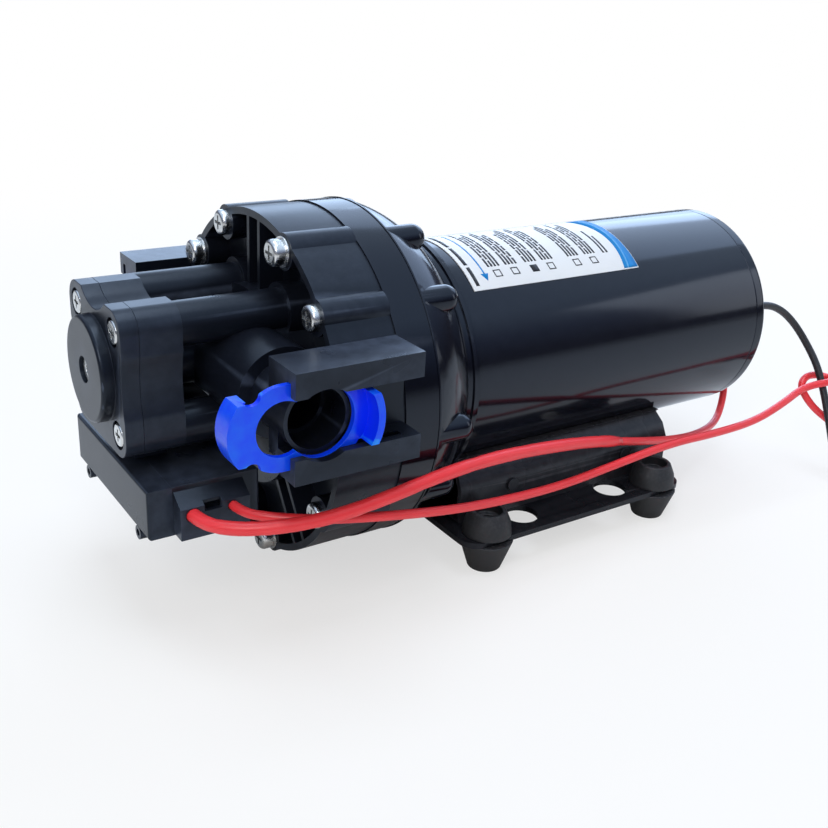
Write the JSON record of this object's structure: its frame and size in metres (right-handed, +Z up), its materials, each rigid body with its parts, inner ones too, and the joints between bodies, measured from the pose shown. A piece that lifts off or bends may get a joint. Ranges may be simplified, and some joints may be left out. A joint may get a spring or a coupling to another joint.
{
  "type": "diaphragm water pump",
  "caption": "Multi-chamber diaphragm water pump with an in-line electric motor, pressure switch, quick-connect ports with sliding clips, and a footed stand.",
  "frame": {"origin": "centre of the four feet's bolt pattern, on the surface that the feet stand on", "axes": "+X along the pump axis from the switch end to the motor's rear end, +Z up, inlet port towards -Y, outlet port towards +Y"},
  "size_m": [0.298, 0.136, 0.1197],
  "materials": {
    "black_plastic": "satin glass-filled moulding, fine grain",
    "black_enamel": "glossy black enamel",
    "black_sheet": "black powder coat on sheet steel",
    "zinc_steel": "zinc plated",
    "bright_steel": "ground steel",
    "ferrite": "ferrite magnet and laminated iron",
    "copper": "bare copper",
    "bronze": "sintered bronze",
    "carbon": "pressed carbon",
    "card": "phenolic moulding",
    "white_nylon": "natural moulded nylon",
    "black_rubber": "moulded rubber",
    "blue_plastic": "bright blue moulding",
    "red_insulation": "red lead insulation",
    "black_insulation": "black lead insulation",
    "label_film": "white film with a blue band",
    "brass_plate": "brass strip"
  },
  "bodies": {
    "pump_body": {"motor_can": "black_enamel", "motor_end_cap": "black_enamel", "rear_bush": "bronze", "field_magnets": "ferrite", "brush_card": "card", "brush_springs": "bright_steel", "front_bearing_outer_ring": "bright_steel", "drive_housing": "black_enamel", "diaphragm": "black_rubber", "diaphragm_carrier": "white_nylon", "valve_plate": "white_nylon", "inlet_valves": "black_rubber", "outlet_valve": "black_rubber", "valve_seal_ring": "black_rubber", "pump_head": "black_plastic", "plain_screws": "zinc_steel", "washered_screws": "zinc_steel", "flat_washers": "zinc_steel", "spring_washers": "zinc_steel", "switch_body": "black_plastic", "switch_cover": "black_plastic", "switch_diaphragm": "black_rubber", "switch_spring": "bright_steel", "cover_screws": "zinc_steel", "switch_box_front": "black_plastic", "switch_box": "black_plastic", "switch_terminals": "brass_plate", "microswitch": "black_plastic", "base_plate": "black_sheet", "motor_cradle": "black_sheet", "cradle_rivets": "black_sheet", "rubber_feet": "black_rubber", "motor_label": "label_film", "lead_grommets": "black_rubber", "lead_sleeve": "red_insulation", "thick_red_lead": "red_insulation", "thin_red_lead": "red_insulation", "black_lead": "black_insulation", "stripped_lead_ends": "copper"},
    "rotor": {"motor_shaft": "bright_steel", "armature_core": "ferrite", "armature_windings": "copper", "commutator": "copper", "wobble_cam": "bright_steel", "front_bearing_inner_ring": "bright_steel", "wobble_bearing_inner_ring": "bright_steel"},
    "front_ball_set": {"front_bearing_balls": "bright_steel"},
    "wobbler": {"wobble_plate": "white_nylon", "wobble_bearing_outer_ring": "bright_steel", "pistons": "white_nylon", "piston_screws": "zinc_steel"},
    "wobble_ball_set": {"wobble_bearing_balls": "bright_steel"},
    "inlet_clip_slide": {"inlet_clip": "blue_plastic"},
    "outlet_clip_slide": {"outlet_clip": "blue_plastic"},
    "adjuster": {"adjuster_screw": "zinc_steel"},
    "spring_seat_nut": {"spring_seat": "bronze"},
    "plunger": {"switch_plunger": "white_nylon"},
    "switch_button": {"microswitch_button": "card"},
    "upper_carbon": {"upper_brush": "carbon"},
    "lower_carbon": {"lower_brush": "carbon"}
  },
  "joints": [
    {"name": "rotor_turn", "type": "hinge", "parent": "pump_body", "child": "rotor", "pos_m": [-0.083, 0, 0.063], "axis": [1, 0, 0], "continuous": true},
    {"name": "front_balls_turn", "type": "hinge", "parent": "pump_body", "child": "front_ball_set", "pos_m": [-0.083, 0, 0.063], "axis": [1, 0, 0], "continuous": true},
    {"name": "wobble_turn", "type": "hinge", "parent": "rotor", "child": "wobbler", "pos_m": [-0.0735, 0, 0.063], "axis": [0.9986, 0, 0.0523], "continuous": true, "deforming": ["diaphragm"]},
    {"name": "wobble_balls_turn", "type": "hinge", "parent": "rotor", "child": "wobble_ball_set", "pos_m": [-0.0735, 0, 0.063], "axis": [0.9986, 0, 0.0523], "continuous": true},
    {"name": "inlet_clip_lock", "type": "slide", "parent": "pump_body", "child": "inlet_clip_slide", "axis": [1, 0, 0], "range_m": [0, 0.0114]},
    {"name": "outlet_clip_open", "type": "slide", "parent": "pump_body", "child": "outlet_clip_slide", "axis": [-1, 0, 0], "range_m": [0, 0.0114]},
    {"name": "adjuster_turn", "type": "hinge", "parent": "pump_body", "child": "adjuster", "pos_m": [-0.083, 0, 0.0765], "axis": [1, 0, 0], "range_deg": [-540, 540]},
    {"name": "spring_seat_move", "type": "slide", "parent": "pump_body", "child": "spring_seat_nut", "axis": [1, 0, 0], "range_m": [-0.0012, 0.0012], "deforming": ["switch_spring"]},
    {"name": "plunger_press", "type": "slide", "parent": "pump_body", "child": "plunger", "axis": [-1, 0, 0], "range_m": [0, 0.0012], "stiffness_N_per_m": 2000, "deforming": ["switch_spring"]},
    {"name": "button_press", "type": "slide", "parent": "pump_body", "child": "switch_button", "axis": [-1, 0, 0], "range_m": [0, 0.0012]},
    {"name": "upper_brush_lift", "type": "slide", "parent": "pump_body", "child": "upper_carbon", "axis": [0, 0, 1], "range_m": [0, 0.0025], "stiffness_N_per_m": 300, "deforming": ["brush_springs"]},
    {"name": "lower_brush_lift", "type": "slide", "parent": "pump_body", "child": "lower_carbon", "axis": [0, 0, -1], "range_m": [0, 0.0025], "stiffness_N_per_m": 300, "deforming": ["brush_springs"]}
  ],
  "couplings": [
    {"joint": "front_balls_turn", "follows": "rotor_turn", "ratio": 0.37333},
    {"joint": "wobble_turn", "follows": "rotor_turn", "ratio": -1},
    {"joint": "wobble_balls_turn", "follows": "rotor_turn", "ratio": -0.54651},
    {"joint": "adjuster_turn", "follows": "spring_seat_move", "rad_per_m": 7854},
    {"joint": "button_press", "follows": "plunger_press", "ratio": 1}
  ]
}
